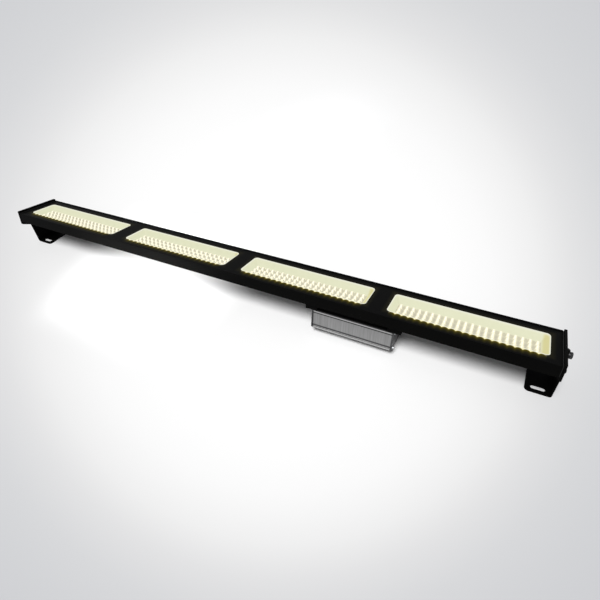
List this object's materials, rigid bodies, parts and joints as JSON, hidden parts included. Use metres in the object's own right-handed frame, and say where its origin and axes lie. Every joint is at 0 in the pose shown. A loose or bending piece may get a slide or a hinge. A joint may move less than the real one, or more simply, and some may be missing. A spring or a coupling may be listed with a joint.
{
  "type": "linear high bay light",
  "caption": "Long black linear light: lit windows with domed lenses in a finned housing, a driver slung below, and a slotted tilting bracket at each end.",
  "frame": {"origin": "middle of the mounting plane under the two bracket feet", "axes": "+X along the housing towards the end with the driver, +Y across it, +Z away from the mounting plane. The lit face looks along +Z, but for the 10.5 degrees that the body leans on its pivots"},
  "size_m": [1.2312, 0.1074, 0.0975],
  "materials": {
    "black_coat": "satin black powder coat on extruded aluminium",
    "black_sheet": "satin black powder coat on steel sheet",
    "black_steel": "black zinc",
    "zinc_steel": "bright zinc",
    "reflector_white": "white moulded reflector, satin",
    "lens_clear": "clear polycarbonate, shown lit",
    "seal_silicone": "soft silicone",
    "led_board_white": "white solder mask on an aluminium core",
    "led_phosphor": "yellow phosphor",
    "pad_grey": "soft filled silicone",
    "gasket_black": "foam rubber",
    "clear_anodised": "satin clear anodised extrusion",
    "cap_metal": "satin sheet",
    "black_nylon": "moulded nylon",
    "lead_jacket": "silicone jacket",
    "circuit_green": "solder mask",
    "ferrite": "ferrite and taped winding",
    "capacitor_sleeve": "shrunk sleeve",
    "enamelled_wire": "enamelled copper",
    "epoxy_black": "moulded epoxy"
  },
  "bodies": {
    "light": {"housing": "black_coat", "front_cover": "black_coat", "tray_screws": "zinc_steel", "driver_case": "clear_anodised", "driver_cap_left": "cap_metal", "driver_cap_right": "cap_metal", "driver_cap_screws": "zinc_steel", "strap_screws": "zinc_steel", "lead_bushing": "black_nylon", "wiring_harness": "lead_jacket", "driver_circuit": "circuit_green", "transformer": "ferrite", "capacitors": "capacitor_sleeve", "choke": "enamelled_wire", "transistors": "epoxy_black", "mains_gland": "black_nylon", "reflector_1": "reflector_white", "lens_plate_1": "lens_clear", "lens_seal_1": "seal_silicone", "led_board_1": "led_board_white", "led_chips_1": "led_phosphor", "thermal_pad_1": "pad_grey", "reflector_2": "reflector_white", "lens_plate_2": "lens_clear", "lens_seal_2": "seal_silicone", "led_board_2": "led_board_white", "led_chips_2": "led_phosphor", "thermal_pad_2": "pad_grey", "reflector_3": "reflector_white", "lens_plate_3": "lens_clear", "lens_seal_3": "seal_silicone", "led_board_3": "led_board_white", "led_chips_3": "led_phosphor", "thermal_pad_3": "pad_grey", "reflector_4": "reflector_white", "lens_plate_4": "lens_clear", "lens_seal_4": "seal_silicone", "led_board_4": "led_board_white", "led_chips_4": "led_phosphor", "thermal_pad_4": "pad_grey", "end_gasket_left": "gasket_black", "end_plate_left": "black_sheet", "end_screws_left": "black_steel", "pivot_bolt_left": "black_steel", "pivot_nut_left": "zinc_steel", "pivot_spacer_left": "black_nylon", "pivot_washer_left": "black_steel", "spring_washer_left": "black_steel", "driver_strap_left": "black_sheet", "end_gasket_right": "gasket_black", "end_plate_right": "black_sheet", "end_screws_right": "black_steel", "pivot_bolt_right": "black_steel", "pivot_nut_right": "zinc_steel", "pivot_spacer_right": "black_nylon", "pivot_washer_right": "black_steel", "spring_washer_right": "black_steel", "driver_strap_right": "black_sheet"},
    "left_bracket": {"bracket_left": "black_sheet"},
    "right_bracket": {"bracket_right": "black_sheet"}
  },
  "joints": [
    {"name": "left_bracket_tilt", "type": "hinge", "parent": "light", "child": "left_bracket", "pos_m": [-0.6073, 0, 0.074], "axis": [1, 0, 0], "range_deg": [-100.5, 79.5]},
    {"name": "right_bracket_tilt", "type": "hinge", "parent": "light", "child": "right_bracket", "pos_m": [0.6073, 0, 0.074], "axis": [1, 0, 0], "range_deg": [-100.5, 79.5]}
  ]
}
